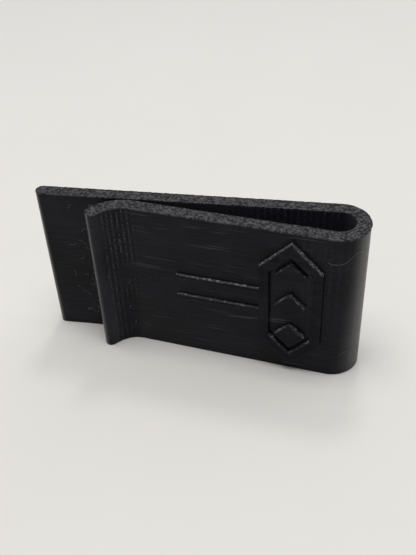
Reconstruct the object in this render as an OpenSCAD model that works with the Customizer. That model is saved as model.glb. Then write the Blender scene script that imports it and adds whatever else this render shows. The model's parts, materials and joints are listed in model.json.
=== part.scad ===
// Spring money clip: one printed strip folded into a long back leaf, a U-shaped bend and a
// shorter front leaf that closes on the back leaf and ends in a flared lip.
// The strip stands on one long edge. X runs along the back leaf with the bend at +X,
// the front leaf is on the -Y side, and the origin is on the back leaf's standing edge,
// halfway along the clip and in the middle of the leaf's thickness.

/* [Strip] */
// Overall length, from the back leaf's tip to the outside of the bend
clip_length = 50; // [42:0.5:65]
// Width of the strip, which is the clip's height as it stands
clip_width = 26; // [20:0.5:40]
// Thickness of the strip
leaf_thickness = 2; // [1.4:0.1:2.6]

/* [Note slot] */
// Clear gap between the leaves where they leave the bend
slot_width = 4.7; // [3.8:0.1:6.5]
// Gap between the pinch crest and the back leaf
crest_gap = 0.3; // [0.2:0.05:0.8]
// Distance along the clip from the back leaf's tip to the pinch crest
crest_setback = 14.6; // [11:0.2:18]

/* [Flared lip] */
// Radius of the strip's middle line round the pinch crest
crest_radius = 5.3; // [4:0.1:7]
// Angle that the lip turns through, away from the back leaf
lip_sweep = 57; // [40:1:75]
// Straight length between the lip's curve and its rounded end
lip_straight = 0.8; // [0.2:0.1:3]

/* [Emblem] */
// Length of the emblem's frame along the front leaf
emblem_length = 9.4; // [7.5:0.2:12]
// Distance from the bend to the frame
emblem_setback = 1; // [0.5:0.1:5]
// Distance from each long edge of the strip to the frame's points
emblem_margin = 1.5; // [0.8:0.1:3]
// Height of the emblem above the front leaf
emblem_relief = 0.8; // [0.4:0.1:1.2]
// Width of the frame's bars
frame_bar = 1.5; // [0.8:0.1:1.8]
// Clear gap between the frame's bars and the diamonds
diamond_gap = 0.9; // [0.4:0.1:1.2]
// Least gap between one diamond's point and the next
diamond_spacing = 1; // [0.4:0.1:2]
// Width of each of the two pinstripes that run along the leaf from the frame
stripe_width = 0.8; // [0.4:0.1:1.6]
// Distance between the middles of the two pinstripes
stripe_spacing = 3.8; // [2:0.2:8]
// Height of the pinstripes above the front leaf
stripe_relief = 0.5; // [0.2:0.1:0.8]
// Distance from the pinstripes' ends to where the lip's curve begins
stripe_margin = 6.7; // [2:0.1:9]

/* [Hidden] */

// Facets of a full circle
$fn = 128;

// The strip's tips are full rounds, and the bend's outside touches the clip's far end
tip_radius = leaf_thickness / 2;
bend_radius = (slot_width + leaf_thickness) / 2;
tip_x = -clip_length / 2 + tip_radius;
bend_x = clip_length / 2 - leaf_thickness / 2 - bend_radius;

// The front leaf lies on the straight line that leaves the bend's circle and crosses over
// to the crest's circle. crest_run and crest_drop are the crest circle's centre seen from
// the bend circle's, along and across the clip.
crest_run = bend_x + clip_length / 2 - crest_setback;
crest_drop = leaf_thickness + crest_gap + crest_radius - bend_radius;
radii = bend_radius + crest_radius;
front_run = sqrt(crest_run ^ 2 + crest_drop ^ 2 - radii ^ 2);
closing_angle = atan2(crest_run, crest_drop) - atan2(front_run, radii);

// The emblem is an upright frame with 45 degree points and a column of square diamonds
emblem_height = clip_width - 2 * emblem_margin;
frame_bore_length = emblem_length - 2 * frame_bar;
frame_bore_height = emblem_height - 2 * frame_bar * sqrt(2);
diamond_reach = frame_bore_length / 2 - diamond_gap;
column_height = frame_bore_height - 2 * diamond_gap * sqrt(2) - 2 * diamond_reach;
diamond_steps = max(1, floor(column_height / (2 * diamond_reach + diamond_spacing)));
diamond_pitch = column_height / diamond_steps;
stripe_length = front_run - emblem_setback - emblem_length - stripe_margin;

PRINTED_BLACK = "#242425";
EMBLEM_BLACK = "#2b2b2c";

// A straight stretch of the strip along -X from the origin, centred on the X axis
module strip_straight(length)
    translate([-length, -leaf_thickness / 2, 0])
        cube([length, leaf_thickness, clip_width]);

// A curved stretch of the strip about the origin, from angle start round by sweep
module strip_curve(radius, start, sweep)
    rotate([0, 0, start])
        rotate_extrude(angle = sweep)
            translate([radius - leaf_thickness / 2, 0])
                square([leaf_thickness, clip_width]);

// The strip's half-round end, on the -X side of the origin
module strip_tip()
    rotate([0, 0, 90])
        rotate_extrude(angle = 180)
            square([tip_radius, clip_width]);

// Places the front side: origin at the bend's centre, -X along the front leaf towards its
// lip, and -Y square out of its outer face
module on_front()
    translate([bend_x, -bend_radius, 0])
        rotate([0, 0, -closing_angle])
            children();

// Places the lip: origin at the crest's centre, turned as on_front() is
module on_crest()
    on_front()
        translate([-front_run, -bend_radius - crest_radius, 0])
            children();

// Extrudes an outline out of the front leaf's outer face. It is drawn along the leaf and
// up it, from the middle of the emblem's frame.
module on_front_face(relief)
    on_front()
        translate([
            -emblem_setback - emblem_length / 2,
            -bend_radius - leaf_thickness / 2,
            clip_width / 2
        ])
            rotate([90, 0, 0])
                linear_extrude(relief)
                    children();

// An upright six-sided outline with a 45 degree point at the top and at the bottom
module pointed_panel(length, height) {
    half = length / 2;
    shoulder = height / 2 - half;
    polygon([
        [half, -shoulder], [half, shoulder], [0, height / 2],
        [-half, shoulder], [-half, -shoulder], [0, -height / 2]
    ]);
}

module back_leaf()
    color(PRINTED_BLACK) {
        translate([bend_x, 0, 0])
            strip_straight(bend_x - tip_x);
        translate([tip_x, 0, 0])
            strip_tip();
    }

module spring_bend()
    color(PRINTED_BLACK)
        translate([bend_x, -bend_radius, 0])
            strip_curve(bend_radius, -90 - closing_angle, 180 + closing_angle);

module front_leaf()
    color(PRINTED_BLACK)
        on_front()
            translate([0, -bend_radius, 0])
                strip_straight(front_run);

module pinch_crest()
    color(PRINTED_BLACK)
        on_crest()
            strip_curve(crest_radius, 90, lip_sweep);

module lip_end()
    color(PRINTED_BLACK)
        on_crest()
            rotate([0, 0, lip_sweep])
                translate([0, crest_radius, 0]) {
                    strip_straight(lip_straight);
                    translate([-lip_straight, 0, 0])
                        strip_tip();
                }

module emblem_frame()
    color(EMBLEM_BLACK)
        on_front_face(emblem_relief)
            difference() {
                pointed_panel(emblem_length, emblem_height);
                pointed_panel(frame_bore_length, frame_bore_height);
            }

module emblem_diamonds()
    color(EMBLEM_BLACK)
        on_front_face(emblem_relief)
            for (step = [0:diamond_steps])
                translate([0, diamond_pitch * step - column_height / 2])
                    pointed_panel(2 * diamond_reach, 2 * diamond_reach);

module emblem_stripes()
    color(EMBLEM_BLACK)
        on_front_face(stripe_relief)
            for (side = [-1, 1])
                translate([
                    -emblem_length / 2 - stripe_length,
                    (side * stripe_spacing - stripe_width) / 2
                ])
                    square([stripe_length, stripe_width]);

back_leaf();
spring_bend();
front_leaf();
pinch_crest();
lip_end();
emblem_frame();
emblem_diamonds();
emblem_stripes();
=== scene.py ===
import cmath
import json
import math
import random

import bpy
from mathutils import Matrix, Vector


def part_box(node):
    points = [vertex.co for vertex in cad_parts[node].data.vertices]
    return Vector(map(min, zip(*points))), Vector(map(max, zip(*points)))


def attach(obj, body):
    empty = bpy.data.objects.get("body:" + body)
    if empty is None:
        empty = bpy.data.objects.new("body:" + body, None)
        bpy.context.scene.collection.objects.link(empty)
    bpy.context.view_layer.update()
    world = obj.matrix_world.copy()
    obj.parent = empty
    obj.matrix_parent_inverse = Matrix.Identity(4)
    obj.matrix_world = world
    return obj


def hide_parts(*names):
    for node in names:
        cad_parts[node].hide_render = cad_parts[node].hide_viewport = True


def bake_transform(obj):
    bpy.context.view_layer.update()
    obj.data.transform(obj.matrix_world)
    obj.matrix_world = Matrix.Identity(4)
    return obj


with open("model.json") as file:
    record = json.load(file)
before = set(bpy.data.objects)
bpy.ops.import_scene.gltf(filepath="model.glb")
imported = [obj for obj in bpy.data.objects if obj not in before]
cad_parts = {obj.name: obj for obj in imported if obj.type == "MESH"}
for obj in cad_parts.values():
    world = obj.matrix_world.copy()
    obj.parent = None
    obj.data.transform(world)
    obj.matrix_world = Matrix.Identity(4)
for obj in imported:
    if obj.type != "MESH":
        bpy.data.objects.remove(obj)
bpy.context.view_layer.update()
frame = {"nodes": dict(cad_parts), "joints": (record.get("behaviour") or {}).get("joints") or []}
MM = 0.001


# Back leaf. The long flat half of the printed strip, with a half-round tip. The clip was
# printed standing on what is now its top edge, so its walls are a stack of thin beads that
# run along the strip, and its foot is closed by a few lines laid side by side.
LAYER = 0.2 * MM
LAYERS = 129
STEPS_PER_LAYER = 4
BEAD_DEPTH = 0.03 * MM
BEAD_SEAM = 0.7
WALL_WANDER = 0.03 * MM
WALL_SPACING = 0.6 * MM
FOOT_LINES = 5
STEPS_PER_FOOT_LINE = 6.0
FOOT_LINE_DEPTH = 0.04 * MM
RINGING_PITCH = 0.95 * MM
RINGING_FADE = 1.0 * MM
LIP_SWEEP = math.radians(57)
CREST_RADIUS = 5.3 * MM
LIP_STRAIGHT = 0.8 * MM
GLOSS = 0.3

leaf_low, leaf_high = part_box("back_leaf")
front_low, front_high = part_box("front_leaf")
hinge = Vector(frame["joints"][0]["pos_m"])
thickness = leaf_high.y - leaf_low.y
tip_radius = thickness / 2
bend_radius = (leaf_low.y + leaf_high.y) / 2 - hinge.y
closing = math.atan2(
    (hinge.x - front_high.x) / (bend_radius - tip_radius),
    (hinge.y - front_low.y) / (bend_radius + tip_radius),
)
front_far = (bend_radius + tip_radius) * math.sin(closing)
front_run = (hinge.x - front_far - front_low.x) / math.cos(closing)

# Length and turn of each stretch of the strip's middle line, from the back leaf's tip
STRETCHES = [
    (hinge.x - leaf_low.x, 0),
    (bend_radius * (math.pi + closing), -math.pi - closing),
    (front_run, 0),
    (CREST_RADIUS * LIP_SWEEP, LIP_SWEEP),
    (LIP_STRAIGHT + tip_radius, 0),
]
BACK_TIP, BEND_START, BEND_END, CREST_START, CREST_END, LIP_TIP = [
    sum(length for length, turn in STRETCHES[:count]) for count in range(6)
]


def middle_line(along):
    """Place and heading of the middle line, this far along it from the back leaf's tip."""
    place = complex(leaf_low.x, leaf_high.y - tip_radius)
    heading = 1 + 0j
    for length, turn in STRETCHES:
        here = min(along, length)
        if turn:
            curve = 1j * turn / length
            place += heading * (cmath.exp(curve * here) - 1) / curve
            heading *= cmath.exp(curve * here)
        else:
            place += heading * here
        along -= here
        if along <= 0:
            break
    return place, heading


def half_thickness(along):
    """Half the strip's thickness there: full, and half-round at the two tips."""
    depth = min(along, LIP_TIP - along, tip_radius)
    return math.sqrt(max(tip_radius**2 - (tip_radius - depth) ** 2, 0))


def spread(start, end, spacing):
    """Distances from start to end at an even spacing, which closes up round a tip."""
    count = math.ceil((end - start) / spacing)
    even = [start + (end - start) * step / count for step in range(count + 1)]
    chosen = [d for d in even if tip_radius < d < LIP_TIP - tip_radius]
    round_steps = max(8, round(1.6 * tip_radius / spacing))
    angles = [math.radians(3 + 87 * step / round_steps) for step in range(round_steps + 1)]
    rounding = [tip_radius * (1 - math.cos(angle)) for angle in angles]
    if start == BACK_TIP:
        chosen = rounding + chosen
    if end == LIP_TIP:
        chosen += [LIP_TIP - depth for depth in reversed(rounding)]
    return chosen


def strip_path(name, start, end, spacing):
    """The middle line as a chain of edges that knows its distance, side and half thickness."""
    distances = spread(start, end, spacing)
    line = [middle_line(distance) for distance in distances]
    edges = [(step, step + 1) for step in range(len(line) - 1)]
    mesh = bpy.data.meshes.new(name)
    mesh.from_pydata([(place.real, place.imag, 0) for place, heading in line], edges, [])
    along = mesh.attributes.new("along", "FLOAT", "POINT")
    along.data.foreach_set("value", distances)
    half = mesh.attributes.new("half", "FLOAT", "POINT")
    half.data.foreach_set("value", [half_thickness(distance) for distance in distances])
    side = mesh.attributes.new("side", "FLOAT_VECTOR", "POINT")
    outward = [heading * 1j for place, heading in line]
    side.data.foreach_set("vector", [part for o in outward for part in (o.real, o.imag, 0)])
    return new_piece(name, mesh)


def new_piece(name, mesh):
    piece = bpy.data.objects.new(name, mesh)
    bpy.context.scene.collection.objects.link(piece)
    return piece


def node(tree, kind, *values, **settings):
    """Adds a node. Its open inputs are filled in order by sockets or values; None skips one."""
    made = tree.nodes.new(kind)
    for name, value in settings.items():
        setattr(made, name, value)
    for socket, value in zip([s for s in made.inputs if s.enabled], values):
        if isinstance(value, bpy.types.NodeSocket):
            tree.links.new(value, socket)
        elif value is not None:
            socket.default_value = value
    return next(s for s in made.outputs if s.enabled)


def sums(tree):
    """Short names for adding, subtracting, multiplying and dividing in this tree."""
    operations = ("ADD", "SUBTRACT", "MULTIPLY", "DIVIDE")
    return [
        lambda *values, chosen=chosen: node(tree, "ShaderNodeMath", *values, operation=chosen)
        for chosen in operations
    ]


def share(tree, value, low, high):
    """0 below low, 1 above high, and evenly between."""
    return node(tree, "ShaderNodeMapRange", value, low, high, 0.0, 1.0)


def vector(tree, *parts):
    return node(tree, "ShaderNodeCombineXYZ", *parts)


def noise(tree, place, scale, detail, seed=0.0):
    """Fractal noise about 0.5 at this many cells a metre."""
    return node(
        tree, "ShaderNodeTexNoise", place, seed, scale, detail, 0.6, noise_dimensions="4D"
    )


def new_tree(name, kind, inputs, outputs):
    """A node tree with these named inputs and outputs, and the sockets inside it."""
    tree = bpy.data.node_groups.new(name, kind)
    sockets = {
        bool: "NodeSocketBool", int: "NodeSocketInt", float: "NodeSocketFloat",
        tuple: "NodeSocketVector", str: "NodeSocketGeometry", type(None): "NodeSocketMaterial",
    }
    for label, value in inputs.items():
        made = tree.interface.new_socket(
            label, in_out="INPUT", socket_type=sockets[type(value)]
        )
        if value and not isinstance(value, str):
            made.default_value = value
    for label, value in outputs.items():
        tree.interface.new_socket(label, in_out="OUTPUT", socket_type=sockets[type(value)])
    given = tree.nodes.new("NodeGroupInput").outputs
    wanted = tree.nodes.new("NodeGroupOutput").inputs
    return tree, given, wanted


def grow(piece, tree, **values):
    """Runs the tree on the piece and keeps the plain mesh that it makes."""
    modifier = piece.modifiers.new(tree.name, "NODES")
    modifier.node_group = tree
    for socket in tree.interface.items_tree:
        label = socket.name.replace(" ", "_")
        if socket.in_out == "INPUT" and label in values:
            modifier[socket.identifier] = values[label]
    evaluated = piece.evaluated_get(bpy.context.evaluated_depsgraph_get())
    mesh = bpy.data.meshes.new_from_object(evaluated)
    piece.modifiers.remove(modifier)
    piece.data = mesh
    return piece


def strip_tree():
    """Sweeps a stack of printed layers along the strip's middle line."""
    tree, given, wanted = new_tree(
        "printed strip",
        "GeometryNodeTree",
        {
            "Geometry": "in",
            "Foot": 0.0,
            "Layers": 1,
            "Bead depth": 0.0,
            "Wander": 0.0,
            "Steps across": 6,
            "Foot lines": 5,
            "Foot line depth": 0.0,
            "Grain depth": 0.0,
            "Flange": 0.0,
            "Start": 0.0,
            "Length": 1.0,
            "Material": None,
        },
        {"Geometry": "out"},
    )
    add, take, times, over = sums(tree)

    # The cross-section is a ring of points: up the outer wall, over the top, down the inner
    # wall and back along the foot. Each share runs from 0 to 1 over its own stretch.
    side_steps = times(given["Layers"], STEPS_PER_LAYER)
    top_end = add(side_steps, given["Steps across"])
    inner_end = add(top_end, side_steps)
    ring_end = add(inner_end, times(given["Foot lines"], STEPS_PER_FOOT_LINE))
    index = node(tree, "GeometryNodeInputIndex")
    up = share(tree, index, 0.0, side_steps)
    over_top = share(tree, index, side_steps, top_end)
    down = share(tree, index, top_end, inner_end)
    back = share(tree, index, inner_end, ring_end)
    height = times(given["Layers"], LAYER)
    girth = add(times(add(up, down), height), times(add(over_top, back), thickness))
    section = vector(
        tree,
        add(take(1.0, times(over_top, 2.0)), times(back, 2.0)),
        times(take(up, down), height),
        over(girth, times(add(height, thickness), 2.0)),
    )
    circle = node(tree, "GeometryNodeMeshCircle", ring_end, 1.0)
    ring = node(tree, "GeometryNodeMeshToCurve", circle)
    line = node(tree, "GeometryNodeMeshToCurve", given["Geometry"])
    kept = []
    for curve, value in ((ring, section), (line, node(tree, "GeometryNodeInputPosition"))):
        capture = tree.nodes.new("GeometryNodeCaptureAttribute")
        capture.capture_items.new("VECTOR", "kept")
        tree.links.new(curve, capture.inputs[0])
        tree.links.new(value, capture.inputs[1])
        kept.append(capture.outputs)
    swept = node(tree, "GeometryNodeCurveToMesh", kept[1][0], kept[0][0])
    swept.node.inputs["Fill Caps"].default_value = True

    # What each point of the swept mesh knows about itself
    along, half, side = [
        node(tree, "GeometryNodeInputNamedAttribute", name, data_type=kind)
        for name, kind in (("along", "FLOAT"), ("half", "FLOAT"), ("side", "FLOAT_VECTOR"))
    ]
    across, rise, round_ring = node(tree, "ShaderNodeSeparateXYZ", kept[0][1]).node.outputs
    layer = add(over(rise, LAYER), 0.001)
    near_top = take(height, LAYER / 20)
    is_top = node(tree, "ShaderNodeMath", rise, near_top, operation="GREATER_THAN")
    is_foot = node(tree, "ShaderNodeMath", rise, LAYER / 20, operation="LESS_THAN")

    # Each layer bulges between its two seams, and strays in or out by its own amount
    swing = take(times(node(tree, "ShaderNodeMath", layer, operation="FRACT"), 2.0), 1.0)
    bead = node(tree, "ShaderNodeMath", take(1.0, times(swing, swing)), 0.5, operation="POWER")
    bulge = times(take(bead, BEAD_SEAM), given["Bead depth"])
    number = node(tree, "ShaderNodeMath", layer, operation="FLOOR")
    layer_place = vector(tree, times(along, 90.0), times(number, 3.7), times(across, 9.0))
    stray = times(take(noise(tree, layer_place, 1.0, 2.0), 0.5), given["Wander"])
    ragged = noise(tree, vector(tree, along, times(across, MM), 0.0), 1400.0, 3.0)
    flange = times(share(tree, ragged, 0.3, 0.6), given["Flange"])
    flange = times(flange, share(tree, across, -0.5, 0.5))
    reach = times(across, add(half, add(add(bulge, stray), flange)))

    # The top takes the grain of the plate it was printed on, and the foot shows its lines
    grain = take(noise(tree, vector(tree, along, times(across, half), 0.0), 4200.0, 2.0), 0.55)
    foot_turn = times(times(add(across, 1.0), given["Foot lines"]), math.pi / 2)
    foot_wave = node(tree, "ShaderNodeMath", foot_turn, operation="SINE")
    groove = take(1.0, node(tree, "ShaderNodeMath", foot_wave, operation="ABSOLUTE"))
    level = add(rise, times(times(grain, is_top), given["Grain depth"]))
    level = add(level, times(times(groove, is_foot), given["Foot line depth"]))
    level = add(level, given["Foot"])
    sideways = node(tree, "ShaderNodeVectorMath", side, operation="SCALE")
    tree.links.new(reach, sideways.node.inputs["Scale"])
    place = node(tree, "ShaderNodeVectorMath", kept[1][1], sideways, operation="ADD")
    lifted = vector(tree, 0.0, 0.0, level)
    place = node(tree, "ShaderNodeVectorMath", place, lifted, operation="ADD")
    shaped = node(tree, "GeometryNodeSetPosition", swept, None, place)
    shaped = node(
        tree, "GeometryNodeStoreNamedAttribute", shaped, None, "strip",
        vector(tree, along, reach, level), data_type="FLOAT_VECTOR", domain="POINT",
    )

    # The wall's map is the strip unrolled, with the ring's two ends a whole turn apart
    face = node(tree, "GeometryNodeFaceOfCorner")
    corners = node(tree, "GeometryNodeCornersOfFace", face).node.outputs["Total"]
    is_cap = node(tree, "ShaderNodeMath", corners, 4.5, operation="GREATER_THAN")
    middle = node(tree, "GeometryNodeFieldOnDomain", round_ring, data_type="FLOAT", domain="FACE")
    closes = node(tree, "ShaderNodeMath", take(middle, round_ring), 0.3, operation="GREATER_THAN")
    run = times(over(take(along, given["Start"]), given["Length"]), 0.95)
    unrolled = vector(tree, run, add(round_ring, closes), 0.0)
    capped = vector(tree, add(0.975, times(across, 0.015)), over(rise, height), 0.0)
    mapped = node(tree, "GeometryNodeSwitch", is_cap, unrolled, capped, input_type="VECTOR")
    shaped = node(
        tree, "GeometryNodeStoreNamedAttribute", shaped, None, "OFBake", mapped,
        data_type="FLOAT2", domain="CORNER",
    )
    shaped = node(tree, "GeometryNodeRealizeInstances", shaped)
    shaped = node(tree, "GeometryNodeSetMaterial", shaped, None, given["Material"])
    tree.links.new(shaped, wanted[0])
    return tree


printed_strip = strip_tree()


def layer_marks():
    """Shader group: what the layers' run leaves on a wall, with a painted shine on single layers,
    read along the unrolled strip.
    """
    tree, given, wanted = new_tree(
        "layer marks",
        "ShaderNodeTree",
        {"Strip": (0.0, 0.0, 0.0), "Streaks": 1.0, "Scratches": 1.0},
        {"Tone": 0.0, "Wear": 0.0, "Height": 0.0},
    )
    add, take, times, over = sums(tree)
    along, across, rise = node(tree, "ShaderNodeSeparateXYZ", given["Strip"]).node.outputs

    # Streaks a few layers thick, and a slow cloudiness from one end to the other
    drawn = vector(tree, times(along, 0.03), times(across, 0.3), rise)
    streak = noise(tree, drawn, 3600.0, 2.0)
    cloud = noise(tree, given["Strip"], 110.0, 2.0, 4.0)
    tone = add(times(take(streak, 0.5), given["Streaks"]), times(take(cloud, 0.5), 0.6))
    tree.links.new(add(tone, 0.5), wanted["Tone"])

    # Here and there one layer gets a painted shine for a few millimetres, or a scratch runs down the
    # strip
    layer = node(tree, "ShaderNodeMath", over(rise, LAYER), operation="FLOOR")
    layer_place = vector(tree, times(along, 90.0), across, times(layer, 5.3))
    single = noise(tree, layer_place, 1.0, 1.0, 2.0)
    shiny_patches = add(noise(tree, given["Strip"], 130.0, 1.0, 7.0), times(rise, 12.0))
    shiny_patches = share(tree, shiny_patches, 0.56, 0.78)
    up_the_bead = node(tree, "ShaderNodeMath", over(rise, LAYER), operation="FRACT")
    from_middle = times(take(up_the_bead, 0.5), 2.0)
    bead_middle = take(1.0, times(from_middle, from_middle))
    shine = times(times(share(tree, single, 0.6, 0.7), shiny_patches), bead_middle)
    tilted = add(rise, times(along, 0.09))
    scratch = noise(tree, vector(tree, times(along, 0.02), across, tilted), 2600.0, 0.0, 9.0)
    scratched_patches = noise(tree, given["Strip"], 200.0, 1.0, 2.0)
    scratched_patches = share(tree, scratched_patches, 0.5, 0.62)
    scratch = times(share(tree, scratch, 0.74, 0.84), scratched_patches)
    shine_and_scratch = node(tree, "ShaderNodeMath", shine, scratch, operation="MAXIMUM")
    tree.links.new(times(shine_and_scratch, given["Scratches"]), wanted["Wear"])
    fine = noise(tree, vector(tree, times(along, 0.25), across, rise), 9000.0, 2.0, 5.0)
    tree.links.new(add(times(fine, 0.6), times(streak, 0.4)), wanted["Height"])
    return tree


def ringing_marks():
    """Shader group: the ripple left in each layer where the nozzle has just turned, and the ripple's
    highlights to paint into the tone.
    """
    tree, given, wanted = new_tree(
        "ringing marks",
        "ShaderNodeTree",
        {"Strip": (0.0, 0.0, 0.0), "Start": 0.0, "End": 1.0, "Side": 1.0},
        {"Ripple": 0.0, "Dashes": 0.0},
    )
    add, take, times, over = sums(tree)
    along, across, rise = node(tree, "ShaderNodeSeparateXYZ", given["Strip"]).node.outputs
    begins = share(tree, along, given["Start"], add(given["Start"], RINGING_FADE))
    ends = share(tree, along, given["End"], take(given["End"], RINGING_FADE))
    faces = share(tree, times(across, given["Side"]), 0.0, 0.1 * MM)
    layer = node(tree, "ShaderNodeMath", over(rise, LAYER), operation="FLOOR")
    slip = noise(tree, vector(tree, 0.0, 0.0, layer), 0.35, 1.0, 3.0)
    drift = noise(tree, vector(tree, times(along, 400.0), 0.0, times(rise, 60.0)), 1.0, 1.0, 8.0)
    phase = add(times(along, 2 * math.pi / RINGING_PITCH), times(add(times(slip, 0.5), drift), 4.0))
    wave = node(tree, "ShaderNodeMath", phase, operation="SINE")
    strength = noise(tree, vector(tree, times(along, 700.0), 0.0, times(layer, 0.55)), 1.0, 1.0, 6.0)
    lasting = vector(tree, 0.0, times(along, 200.0), times(rise, 180.0))
    lasting = noise(tree, lasting, 1.0, 1.0, 1.0)
    strength = times(share(tree, strength, 0.46, 0.58), share(tree, lasting, 0.35, 0.55))

    # It is strongest in the layers printed first, which are the upper ones as it stands
    first_printed = add(0.3, times(share(tree, rise, 9.0 * MM, 16.0 * MM), 0.7))
    faces = times(faces, first_printed)
    strength = times(times(strength, faces), times(begins, ends))
    tree.links.new(times(wave, strength), wanted["Ripple"])
    # Painted highlights: the ripple's crests as dashes of paler tone, its troughs a little darker
    tree.links.new(times(take(share(tree, wave, 0.0, 0.9), 0.25), strength), wanted["Dashes"])
    return tree


def group(tree, shared, **values):
    """Places a shared shader group and returns its outputs by name."""
    made = tree.nodes.new("ShaderNodeGroup")
    made.node_tree = shared
    for label, value in values.items():
        if isinstance(value, bpy.types.NodeSocket):
            tree.links.new(value, made.inputs[label])
        else:
            made.inputs[label].default_value = value
    return made.outputs


def new_material(name):
    """A material with its default tree, which holds one Principled shader."""
    material = bpy.data.materials.new(name)
    material.use_nodes = True
    return material, material.node_tree, material.node_tree.nodes["Principled BSDF"].inputs


def blend_colours(tree, amount, low, high):
    ramp = tree.nodes.new("ShaderNodeValToRGB")
    ramp.color_ramp.elements[0].color = (*low, 1)
    ramp.color_ramp.elements[1].color = (*high, 1)
    tree.links.new(amount, ramp.inputs[0])
    return ramp.outputs[0]


def bump(tree, height, strength, distance):
    return node(tree, "ShaderNodeBump", strength, distance, None, height)


printed_layers = layer_marks()
nozzle_ringing = ringing_marks()


PLASTIC_DARK = (0.0006, 0.0004, 0.003)
PLASTIC_PALE = (0.044, 0.042, 0.056)
SLOT_REACH_BACK = 33 * MM
SLOT_REACH_FRONT = 29 * MM
SLOT_FADE = 7 * MM


def wall_plastic():
    """Black plastic as the nozzle left it: dark, satin, and streaked along the layers."""
    material, tree, shader = new_material("printed_wall")
    add, take, times, over = sums(tree)
    strip = node(tree, "ShaderNodeAttribute", attribute_name="strip").node.outputs["Vector"]
    marks = group(tree, printed_layers, Strip=strip, Streaks=0.5, Scratches=1.0)
    # The ripples go to the bump, and their highlights are painted into the tone
    ripples = ripple_highlights = 0.0
    for start, end, side, shine in RINGING:
        made = group(tree, nozzle_ringing, Strip=strip, Start=start, End=end, Side=side)
        ripples = add(ripples, made["Ripple"])
        ripple_highlights = add(ripple_highlights, times(made["Dashes"], shine))
    along, across, rise = node(tree, "ShaderNodeSeparateXYZ", strip).node.outputs
    flat = share(tree, times(along, -1.0), -CREST_START - 1 * MM, -CREST_START + 1 * MM)
    flat = times(flat, share(tree, along, BEND_END, BEND_END + 3 * MM))
    # Painted shine on single layers and real scratches, strongest on the front leaf's flat stretch
    shine_and_scratch = times(marks["Wear"], add(0.3, times(flat, 1.7)))
    tone = add(marks["Tone"], add(shine_and_scratch, ripple_highlights))

    # The slot's inner faces are painted paler, most round the inside of the bend: painted light that
    # reaches into the slot
    slot_start = BEND_START - SLOT_REACH_BACK
    slot_end = BEND_END + SLOT_REACH_FRONT
    inside = share(tree, times(across, -1.0), 0.5 * MM, 0.9 * MM)
    inside = times(inside, share(tree, along, slot_start, slot_start + SLOT_FADE))
    inside = times(inside, share(tree, times(along, -1.0), -slot_end, -slot_end + SLOT_FADE))
    turned = share(tree, along, BEND_START + 1 * MM, BEND_START + 4 * MM)
    turned = times(turned, share(tree, times(along, -1.0), -BEND_END + 1 * MM, -BEND_END + 4 * MM))
    inside = times(inside, add(0.7, times(turned, 1.3)))
    # The lip is painted paler in soft patches: a painted highlight
    lip_painted_highlight = share(tree, along, CREST_END - 2.5 * MM, CREST_END + 0.5 * MM)
    lip_painted_highlight = times(lip_painted_highlight, noise(tree, strip, 160.0, 2.0, 6.0))
    tone = add(tone, add(inside, times(lip_painted_highlight, 0.6)))
    tone = share(tree, tone, 0.38, 1.6)
    colour = blend_colours(tree, tone, PLASTIC_DARK, PLASTIC_PALE)
    tree.links.new(colour, shader["Base Color"])

    # The beads' backs gloss over at a glancing look, so the coat thickens there
    normal = node(tree, "ShaderNodeNewGeometry").node.outputs["Normal"]
    level = node(tree, "ShaderNodeVectorMath", normal, (1.0, 1.0, 0.0), operation="MULTIPLY")
    level = node(tree, "ShaderNodeVectorMath", level, operation="NORMALIZE")
    facing = node(tree, "ShaderNodeLayerWeight", 0.5, level).node.outputs["Facing"]
    glancing = times(share(tree, facing, 0.3, 0.52), 1.0 - GLOSS)
    tree.links.new(add(glancing, GLOSS), shader["Coat Weight"])
    tree.links.new(take(0.25, times(tone, 0.08)), shader["Roughness"])
    shader["Specular IOR Level"].default_value = 0.0
    shader["Coat Roughness"].default_value = 0.25
    height = add(times(marks["Height"], 0.3), times(ripples, 0.9))
    tree.links.new(bump(tree, height, 1.0, 0.05 * MM), shader["Normal"])
    return material


# Stretches where the layers ripple: start, end, the side, 1 outside and -1 inside, and the strength
# of the painted highlights
RINGING = [
    (CREST_START - 0.6 * MM, CREST_END + 0.8 * MM, 1, 2.4),
    (BEND_START - 17 * MM, BEND_START + 1 * MM, -1, 1.2),
    (BEND_END - 3 * MM, BEND_END + 5 * MM, 1, 0.3),
]
wall = wall_plastic()
WALL_SIZES = {
    "Layers": LAYERS,
    "Bead_depth": BEAD_DEPTH,
    "Wander": WALL_WANDER,
    "Foot_lines": FOOT_LINES,
    "Foot_line_depth": FOOT_LINE_DEPTH,
    "Material": wall,
}


def strip_walls(name, start, end, spacing):
    """One stretch of the strip's walls and foot."""
    path = strip_path(name, start, end, spacing)
    return grow(path, printed_strip, Start=start, Length=end - start, **WALL_SIZES)


back_walls = strip_walls("back_leaf_walls", BACK_TIP, BEND_START, WALL_SPACING)
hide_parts("back_leaf")
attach(back_walls, "back")


# Spring bend. The same strip turned back on itself, which is the clip's spring.
BEND_SPACING = 0.16 * MM

bend_walls = strip_walls("spring_bend_walls", BEND_START, BEND_END, BEND_SPACING)
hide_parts("spring_bend")
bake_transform(bend_walls)


# Front leaf, pinch crest and lip. The strip runs back to the crest, which all but touches
# the back leaf, and curls away again into a rounded lip for the thumb.
FRONT_SPACING = 0.55 * MM

front_walls = strip_walls("front_leaf_walls", BEND_END, LIP_TIP, FRONT_SPACING)
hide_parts("front_leaf", "pinch_crest", "lip_end")
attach(front_walls, "front")


# Plate faces. The first layer of the print, squashed against a rough plate: a grainy,
# glinting face with a thin ragged flange along both its edges.
PLATE_SPACING = 0.13 * MM
PLATE_STEPS = 16
GRAIN_DEPTH = 0.05 * MM
GRAIN_SIZE = 2900.0
FLANGE = 0.12 * MM
PLATE_DARK = (0.0003, 0.0003, 0.0015)
PLATE_PALE = (0.066, 0.062, 0.071)


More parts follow.
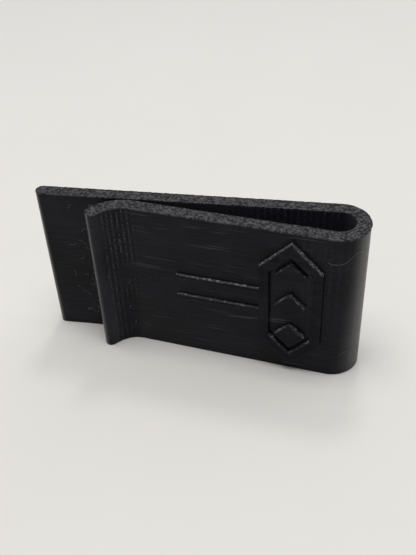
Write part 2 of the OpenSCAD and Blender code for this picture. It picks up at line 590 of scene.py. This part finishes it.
def plate_grain():
    """Shader group: the grain that a rough plate leaves in plastic, and specks for painted glints.
    """
    tree, given, wanted = new_tree(
        "plate grain",
        "ShaderNodeTree",
        {"Place": (0.0, 0.0, 0.0), "Size": 3600.0},
        {"Tone": 0.0, "Glint": 0.0, "Height": 0.0},
    )
    add, take, times, over = sums(tree)
    coarse = noise(tree, given["Place"], given["Size"], 3.0)
    pebble = node(tree, "ShaderNodeTexVoronoi", given["Place"], times(given["Size"], 1.2))
    cell = node(tree, "ShaderNodeSeparateColor", pebble.node.outputs["Color"])
    tree.links.new(add(times(coarse, 0.5), times(cell, 0.5)), wanted["Tone"])
    tree.links.new(share(tree, cell, 0.86, 0.97), wanted["Glint"])
    tree.links.new(take(coarse, times(pebble, 0.5)), wanted["Height"])
    return tree


rough_plate = plate_grain()


def plate_plastic():
    """The plate face: the same black plastic, greyed by its grain, with painted glints, and a
    painted highlight and shade along its edges.
    """
    material, tree, shader = new_material("plate_face")
    add, take, times, over = sums(tree)
    strip = node(tree, "ShaderNodeAttribute", attribute_name="strip").node.outputs["Vector"]
    along, across, rise = node(tree, "ShaderNodeSeparateXYZ", strip).node.outputs
    grain = group(tree, rough_plate, Place=strip, Size=GRAIN_SIZE)
    # The grain's own tone, with its specks painted pale as glints
    tone = add(share(tree, grain["Tone"], 0.4, 0.72), times(grain["Glint"], 0.8))

    # Along each leaf's front edge the face is painted paler in patches, a painted highlight, and
    # along its back edge darker, a painted shade
    sides = take(times(share(tree, along, BEND_START, BEND_END), 2.0), 1.0)
    edge = times(across, sides)
    front_edge_highlight = share(tree, edge, tip_radius * 0.88, tip_radius)
    front_edge_highlight = times(front_edge_highlight, share(tree, noise(tree, strip, 500.0, 2.0), 0.4, 0.6))
    dark = share(tree, times(edge, -1.0), tip_radius * 0.72, tip_radius * 0.98)
    tone = take(add(tone, times(front_edge_highlight, 0.45)), times(dark, 0.6))
    colour = blend_colours(tree, tone, PLATE_DARK, PLATE_PALE)
    tree.links.new(colour, shader["Base Color"])
    tree.links.new(take(0.42, times(grain["Glint"], 0.2)), shader["Roughness"])
    shader["Specular IOR Level"].default_value = 0.2
    tree.links.new(bump(tree, grain["Height"], 1.0, 0.12 * MM), shader["Normal"])
    return material


plate = plate_plastic()


def plate_face(name, start, end):
    """One stretch of the strip's first layer."""
    path = strip_path(name, start, end, PLATE_SPACING)
    grow(
        path, printed_strip, Foot=LAYERS * LAYER, Layers=1, Steps_across=PLATE_STEPS,
        Foot_lines=1, Grain_depth=GRAIN_DEPTH, Flange=FLANGE, Start=start,
        Length=end - start, Material=plate,
    )
    return path


back_plate = plate_face("back_leaf_plate_face", BACK_TIP, BEND_START)
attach(back_plate, "back")
bend_plate = plate_face("spring_bend_plate_face", BEND_START, BEND_END)
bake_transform(bend_plate)
front_plate = plate_face("front_leaf_plate_face", BEND_END, LIP_TIP)
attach(front_plate, "front")


# Emblem. A raised frame with pointed ends, three raised diamonds in a column inside it and
# two pinstripes that run from it towards the crest. All are printed with the front leaf,
# so they are stacks of the same layers, and their undersides as printed came out rough.
BAR = 1.5 * MM
RELIEF = 0.8 * MM
STRIPE_RELIEF = 0.5 * MM
STRIPE_WIDTH = 0.8 * MM
DIAMOND_REACH = 2.3 * MM
SUNK = 0.1 * MM
SLAB_CORNER = 0.18 * MM
SLAB_SIDES = 28
THINNEST_HALF = 0.06 * MM
GLINT_DARK = (0.004, 0.004, 0.006)
GLINT_PALE = (0.5, 0.5, 0.52)

leaf_frame = Matrix.Translation((hinge.x, hinge.y, 0)) @ Matrix.Rotation(-closing, 4, "Z")
leaf_face = -bend_radius - tip_radius


def in_leaf(name):
    """Lowest and highest corner of a CAD node in the front leaf's own frame."""
    back = leaf_frame.inverted()
    points = [back @ vertex.co for vertex in frame["nodes"][name].data.vertices]
    return (
        Vector([min(point[axis] for point in points) for axis in range(3)]),
        Vector([max(point[axis] for point in points) for axis in range(3)]),
    )


def relief_tree():
    """Stacks printed layers into a raised shape at each point, with or without a bore."""
    tree, given, wanted = new_tree(
        "printed relief",
        "GeometryNodeTree",
        {
            "Geometry": "in",
            "Half length": 1.0 * MM,
            "Half height": 1.0 * MM,
            "Pointed": True,
            "Bore half length": 0.0,
            "Bore half height": 0.0,
            "Relief": RELIEF,
            "Bead depth": 0.0,
            "Material": None,
        },
        {"Geometry": "out"},
    )
    add, take, times, over = sums(tree)
    rows = over(given["Half height"], LAYER / 2)
    rows = node(tree, "FunctionNodeFloatToInt", rows, rounding_mode="ROUND")
    lowest = times(take(1.0, rows), LAYER / 2)
    line = node(tree, "GeometryNodeMeshLine", rows, vector(tree, 0.0, 0.0, lowest), (0, 0, LAYER))
    both = node(tree, "GeometryNodeDuplicateElements", line, None, 2, domain="POINT")
    hand = take(times(both.node.outputs["Duplicate Index"], 2.0), 1.0)
    level = node(tree, "ShaderNodeSeparateXYZ", node(tree, "GeometryNodeInputPosition"))
    level = level.node.outputs["Z"]
    away = node(tree, "ShaderNodeMath", level, operation="ABSOLUTE")

    def narrowed(length, height):
        return node(tree, "ShaderNodeMath", length, take(height, away), operation="MINIMUM")

    pointed = narrowed(given["Half length"], given["Half height"])
    reach = node(
        tree, "GeometryNodeSwitch", given["Pointed"], given["Half length"], pointed,
        input_type="FLOAT",
    )
    bore = narrowed(given["Bore half length"], given["Bore half height"])
    bore = node(tree, "ShaderNodeMath", bore, 0.0, operation="MAXIMUM")
    solid = node(tree, "ShaderNodeMath", bore, 0.01 * MM, operation="LESS_THAN")
    spare = times(solid, node(tree, "ShaderNodeMath", hand, 0.0, operation="GREATER_THAN"))
    inner = take(bore, times(solid, reach))
    half = over(take(reach, inner), 2.0)
    thin = node(tree, "ShaderNodeMath", half, THINNEST_HALF, operation="LESS_THAN")
    centre = times(over(add(reach, inner), 2.0), hand)
    size = vector(tree, centre, half, level)
    sized = node(
        tree, "GeometryNodeStoreNamedAttribute", both, None, "size", size,
        data_type="FLOAT_VECTOR", domain="POINT",
    )
    sized = node(
        tree, "GeometryNodeStoreNamedAttribute", sized, None, "spare", add(spare, thin),
        data_type="FLOAT", domain="POINT",
    )
    spare = node(tree, "GeometryNodeInputNamedAttribute", "spare", data_type="FLOAT")
    spare = node(tree, "ShaderNodeMath", spare, 0.5, operation="GREATER_THAN")
    kept = node(tree, "GeometryNodeDeleteGeometry", sized, spare, domain="POINT")

    # One layer is a short drum, pulled out to a rounded bar of that layer's own length
    drum = node(tree, "GeometryNodeMeshCylinder", SLAB_SIDES, 4, 1, 1.0, 2.0)
    drum = node(
        tree, "GeometryNodeStoreNamedAttribute", drum, None, "drum",
        node(tree, "GeometryNodeInputPosition"), data_type="FLOAT_VECTOR", domain="POINT",
    )
    stack = node(tree, "GeometryNodeInstanceOnPoints", kept, None, drum)
    stack = node(tree, "GeometryNodeRealizeInstances", stack)
    drum = node(tree, "GeometryNodeInputNamedAttribute", "drum", data_type="FLOAT_VECTOR")
    size = node(tree, "GeometryNodeInputNamedAttribute", "size", data_type="FLOAT_VECTOR")
    drum_x, drum_y, drum_z = node(tree, "ShaderNodeSeparateXYZ", drum).node.outputs
    centre, half, level = node(tree, "ShaderNodeSeparateXYZ", size).node.outputs
    depth = over(add(given["Relief"], SUNK), 2.0)
    corner = node(tree, "ShaderNodeMath", half, SLAB_CORNER, operation="MINIMUM")
    bead = node(tree, "ShaderNodeMath", take(1.0, times(drum_z, drum_z)), 0.5, operation="POWER")
    round_off = add(corner, times(take(bead, BEAD_SEAM), given["Bead depth"]))

    def pulled_out(value, span):
        """The drum's radius moved out to this half span, with its round corner kept."""
        side = node(tree, "ShaderNodeMath", value, operation="SIGN")
        off_middle = node(tree, "ShaderNodeMath", value, operation="ABSOLUTE")
        side = times(side, share(tree, off_middle, 0.0, 0.01))
        return add(times(side, take(span, corner)), times(value, round_off))

    place = vector(
        tree,
        add(centre, pulled_out(drum_x, half)),
        add(take(SUNK, depth), pulled_out(drum_y, depth)),
        add(level, times(drum_z, LAYER * 0.497)),
    )
    stack = node(tree, "GeometryNodeSetPosition", stack, None, place)
    copies = node(tree, "GeometryNodeInstanceOnPoints", given["Geometry"], None, stack)
    copies = node(tree, "GeometryNodeRealizeInstances", copies)
    spot = node(tree, "GeometryNodeInputPosition")
    spot_x, spot_y, spot_z = node(tree, "ShaderNodeSeparateXYZ", spot).node.outputs
    strip = vector(tree, take(BEND_END, spot_x), times(spot_y, -1.0), spot_z)
    copies = node(
        tree, "GeometryNodeStoreNamedAttribute", copies, None, "strip", strip,
        data_type="FLOAT_VECTOR", domain="POINT",
    )
    copies = node(tree, "GeometryNodeSetMaterial", copies, None, given["Material"])
    tree.links.new(copies, wanted[0])
    return tree


printed_relief = relief_tree()


def relief_plastic():
    """The walls' plastic; where a face looks up, rough grain painted paler with painted glints."""
    material, tree, shader = new_material("printed_relief")
    add, take, times, over = sums(tree)
    strip = node(tree, "ShaderNodeAttribute", attribute_name="strip").node.outputs["Vector"]
    marks = group(tree, printed_layers, Strip=strip, Streaks=0.8, Scratches=0.0)
    grain = group(tree, rough_plate, Place=strip, Size=6500.0)
    normal = node(tree, "ShaderNodeNewGeometry").node.outputs["True Normal"]
    up = node(tree, "ShaderNodeSeparateXYZ", normal).node.outputs["Z"]
    rough = share(tree, up, 0.5, 0.9)
    tone = share(tree, marks["Tone"], 0.3, 1.5)
    dark = blend_colours(tree, tone, PLASTIC_DARK, PLASTIC_PALE)
    # Faces that look up were printed over air and are rough, and are painted paler with pale specks:
    # painted glints
    glint = add(times(grain["Tone"], 0.3), grain["Glint"])
    glints = blend_colours(tree, glint, GLINT_DARK, GLINT_PALE)
    colour = node(tree, "ShaderNodeMix", rough, dark, glints, data_type="RGBA")
    tree.links.new(colour, shader["Base Color"])
    tree.links.new(take(0.4, times(rough, 0.15)), shader["Roughness"])
    shader["Specular IOR Level"].default_value = 0.13
    height = add(times(marks["Height"], 0.4), times(grain["Height"], rough))
    tree.links.new(bump(tree, height, 1.0, 0.05 * MM), shader["Normal"])
    return material


relief = relief_plastic()


def raised(name, centres, **sizes):
    """Raised shapes standing on the front leaf's face, round these centres."""
    mesh = bpy.data.meshes.new(name)
    mesh.from_pydata([(x, leaf_face, z) for x, z in centres], [], [])
    piece = new_piece(name, mesh)
    grow(piece, printed_relief, Bead_depth=BEAD_DEPTH, Material=relief, **sizes)
    piece.data.transform(leaf_frame)
    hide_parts(name.rsplit("_", 1)[0])
    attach(piece, "front")


frame_low, frame_high = in_leaf("emblem_frame")
frame_x = (frame_low.x + frame_high.x) / 2
frame_z = (frame_low.z + frame_high.z) / 2
half_length = (frame_high.x - frame_low.x) / 2
half_height = (frame_high.z - frame_low.z) / 2
raised(
    "emblem_frame_raised", [(frame_x, frame_z)],
    Half_length=half_length, Half_height=half_height,
    Bore_half_length=half_length - BAR, Bore_half_height=half_height - BAR * math.sqrt(2),
)
diamonds_low, diamonds_high = in_leaf("emblem_diamonds")
raised(
    "emblem_diamonds_raised",
    [
        (frame_x, diamonds_low.z + DIAMOND_REACH),
        (frame_x, frame_z),
        (frame_x, diamonds_high.z - DIAMOND_REACH),
    ],
    Half_length=DIAMOND_REACH, Half_height=DIAMOND_REACH,
)
stripes_low, stripes_high = in_leaf("emblem_stripes")
stripes_x = (stripes_low.x + stripes_high.x) / 2
raised(
    "emblem_stripes_raised",
    [
        (stripes_x, stripes_low.z + STRIPE_WIDTH / 2),
        (stripes_x, stripes_high.z - STRIPE_WIDTH / 2),
    ],
    Half_length=(stripes_high.x - stripes_low.x) / 2, Half_height=STRIPE_WIDTH / 2,
    Pointed=False, Relief=STRIPE_RELIEF,
)


# Wisps. Hair-thin strings of plastic that the nozzle trailed and dropped: a scatter of
# short curls on the walls about the lip, and two longer hairs on the bend.
WISP_THICKNESS = 0.07 * MM
WISP_STEP = 0.12 * MM
WISP_SIDES = 6
BACK_WISPS = 46
LIP_WISPS = 5
LIP_WISP_LENGTH = 0.8 * MM
THREAD_DARK = (0.02, 0.02, 0.023)
THREAD_PALE = (0.14, 0.14, 0.15)


def wisp_tree():
    """Sweeps every chain of edges into a thread that thins towards its ends."""
    tree, given, wanted = new_tree(
        "plastic wisps",
        "GeometryNodeTree",
        {"Geometry": "in", "Thickness": WISP_THICKNESS, "Material": None},
        {"Geometry": "out"},
    )
    add, take, times, over = sums(tree)
    line = node(tree, "GeometryNodeMeshToCurve", given["Geometry"])
    factor = node(tree, "GeometryNodeSplineParameter").node.outputs["Factor"]
    taper = times(times(factor, take(1.0, factor)), 4.0)
    taper = add(0.25, times(node(tree, "ShaderNodeMath", taper, 0.5, operation="POWER"), 0.75))
    line = node(tree, "GeometryNodeSetCurveRadius", line, None, taper)
    radius = times(given["Thickness"], 0.5)
    ring = node(tree, "GeometryNodeCurvePrimitiveCircle", WISP_SIDES, radius)
    swept = tree.nodes.new("GeometryNodeCurveToMesh")
    tree.links.new(line, swept.inputs["Curve"])
    tree.links.new(ring, swept.inputs["Profile Curve"])
    swept.inputs["Fill Caps"].default_value = True
    swept = node(tree, "GeometryNodeRealizeInstances", swept.outputs[0])
    swept = node(tree, "GeometryNodeSetMaterial", swept, None, given["Material"])
    tree.links.new(swept, wanted[0])
    return tree


plastic_wisps = wisp_tree()


def thread_plastic():
    """The same plastic drawn thin, where it looks paler."""
    material, tree, shader = new_material("plastic_thread")
    place = node(tree, "ShaderNodeTexCoord").node.outputs["Object"]
    patch = noise(tree, place, 900.0, 2.0)
    colour = blend_colours(tree, patch, THREAD_DARK, THREAD_PALE)
    tree.links.new(colour, shader["Base Color"])
    shader["Roughness"].default_value = 0.3
    tree.links.new(bump(tree, patch, 0.3, 0.01 * MM), shader["Normal"])
    return material


thread = thread_plastic()


def curl(along, rise, heading, turn, length):
    """A curl on the unrolled strip: distances along and up, turning by turn radians."""
    count = max(6, round(length / WISP_STEP))
    line = []
    for step in range(count + 1):
        line.append((along, rise))
        along += math.cos(heading) * length / count
        rise += math.sin(heading) * length / count
        heading += turn / count
    return line


def wisps(name, curls, side):
    """Lays the curls on the strip's outer wall, side 1, or its inner wall, side -1."""
    points, edges = [], []
    for line in curls:
        for step, (along, rise) in enumerate(line):
            place, heading = middle_line(along)
            reach = side * (half_thickness(along) + 0.3 * WISP_THICKNESS)
            place += heading * 1j * reach
            if step:
                edges.append((len(points) - 1, len(points)))
            points.append((place.real, place.imag, rise))
    mesh = bpy.data.meshes.new(name)
    mesh.from_pydata(points, edges, [])
    piece = new_piece(name, mesh)
    grow(piece, plastic_wisps, Material=thread)
    return piece


chance = random.Random(11)
curls = []
for count in range(BACK_WISPS):
    along = chance.triangular(3.5, 11, 9) * MM
    rise = chance.uniform(2.5, 24) * MM
    turn = chance.choice((-1, 1)) * chance.uniform(0.8, 2.6)
    length = chance.uniform(0.4, 1.7) * MM
    curls.append(curl(along, rise, chance.uniform(-0.6, 1.6), turn, length))
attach(wisps("back_leaf_wisps", curls, -1), "back")
curls = []
for count in range(LIP_WISPS):
    along = CREST_END - chance.uniform(-0.5, 4) * MM
    turn = chance.choice((-1, 1)) * chance.uniform(0.8, 2.2)
    heading = chance.uniform(0.3, 2.0)
    curls.append(curl(along, chance.uniform(3, 20) * MM, heading, turn, LIP_WISP_LENGTH))
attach(wisps("lip_wisps", curls, 1), "front")

# The upper hair bends over and back in three turns, and the lower one is a single bow
curls = [
    curl(BEND_END + 0.6 * MM, 21.9 * MM, math.pi + 0.4, -0.8, 1.7 * MM)
    + curl(BEND_END - 1.2 * MM, 21.9 * MM, math.pi - 0.6, -0.6, 1.3 * MM)
    + curl(BEND_END - 2.1 * MM, 22.9 * MM, math.pi - 1.1, 2.3, 1.9 * MM),
    curl(BEND_END - 1.4 * MM, 4.0 * MM, math.pi - 0.9, 0.9, 2.2 * MM),
]
hairs = wisps("spring_bend_hairs", curls, 1)
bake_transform(hairs)


# Floor, light and camera. A pale paper floor under a broad soft light from above and
# behind, and a camera that looks down on the clip's front.
FLOOR_REACH = 1.5
PAPER_DARK = (0.76, 0.745, 0.72)
PAPER_PALE = (0.79, 0.775, 0.75)
WARM_WHITE = (1, 0.985, 0.955)
WHITE = (1, 1, 1)
ROOM_DARK = (0.45, 0.455, 0.465)
ROOM_PALE = (2.4, 2.43, 2.5)
ROOM_STRENGTH = 0.4


def paper():
    material, tree, shader = new_material("pale_paper")
    place = node(tree, "ShaderNodeTexCoord").node.outputs["Object"]
    mottle = noise(tree, place, 40.0, 3.0)
    colour = blend_colours(tree, mottle, PAPER_DARK, PAPER_PALE)
    tree.links.new(colour, shader["Base Color"])
    shader["Roughness"].default_value = 0.9
    shader["Specular IOR Level"].default_value = 0.1
    return material


corners = [(-FLOOR_REACH, -FLOOR_REACH), (FLOOR_REACH, -FLOOR_REACH)]
corners += [(-x, -y) for x, y in corners]
floor_mesh = bpy.data.meshes.new("floor")
floor_mesh.from_pydata([(x, y, leaf_low.z) for x, y in corners], [], [(0, 1, 2, 3)])
floor_mesh.materials.append(paper())
floor = new_piece("floor", floor_mesh)


def soft_light(name, place, aim, size, power, colour):
    light = bpy.data.lights.new(name, "AREA")
    light.shape = "RECTANGLE"
    light.size, light.size_y = size
    light.energy = power
    light.color = colour
    lamp = bpy.data.objects.new(name, light)
    bpy.context.scene.collection.objects.link(lamp)
    lamp.location = place
    lamp.visible_camera = False
    lamp.rotation_euler = (Vector(aim) - Vector(place)).to_track_quat("-Z", "Y").to_euler()


foot = (0, 0, 0)
waist = (0, 0, 0.015)
soft_light("ceiling_light", (0.0, -0.04, 0.45), foot, (0.3, 0.2), 1.2, WARM_WHITE)
soft_light("window_light", (0.02, 0.35, 0.75), foot, (0.12, 0.12), 0.9, WARM_WHITE)
soft_light("right_light", (0.38, 0.26, 0.07), waist, (0.4, 0.12), 0.45, WHITE)
soft_light("left_light", (-0.42, 0.14, 0.06), waist, (0.3, 0.1), 0.25, WHITE)


def soft_room():
    """A grey room that is bright beyond the clip and low down, like a row of windows."""
    world = bpy.data.worlds.new("soft_room")
    world.use_nodes = True
    tree = world.node_tree
    add, take, times, over = sums(tree)
    direction = node(tree, "ShaderNodeTexCoord").node.outputs["Generated"]
    across, depth, height = node(tree, "ShaderNodeSeparateXYZ", direction).node.outputs
    low = take(1.0, share(tree, height, 0.05, 0.45))
    pale = times(share(tree, depth, -0.6, 0.2), add(0.3, times(low, 0.7)))
    room = blend_colours(tree, pale, ROOM_DARK, ROOM_PALE)
    tree.links.new(room, tree.nodes["Background"].inputs["Color"])
    tree.nodes["Background"].inputs["Strength"].default_value = ROOM_STRENGTH
    return world


bpy.context.scene.world = soft_room()

AZIMUTH = math.radians(11.71)
ELEVATION = math.radians(39.38)
ROLL = math.radians(-3.09)
LOOK_AT = Vector((0.9, -0.4, 11.6)) * MM
DISTANCE = 124 * MM
LENS = 51.2
camera = bpy.data.objects.new("camera", bpy.data.cameras.new("camera"))
camera.data.lens = LENS
camera.data.clip_start = 1 * MM
bpy.context.scene.collection.objects.link(camera)
turn = Matrix.Rotation(AZIMUTH, 4, "Z") @ Matrix.Rotation(math.pi / 2 - ELEVATION, 4, "X")
camera.matrix_world = (
    Matrix.Translation(LOOK_AT) @ turn @ Matrix.Translation((0, 0, DISTANCE))
    @ Matrix.Rotation(ROLL, 4, "Z")
)
bpy.context.scene.camera = camera
bpy.context.scene.view_settings.view_transform = "Standard"
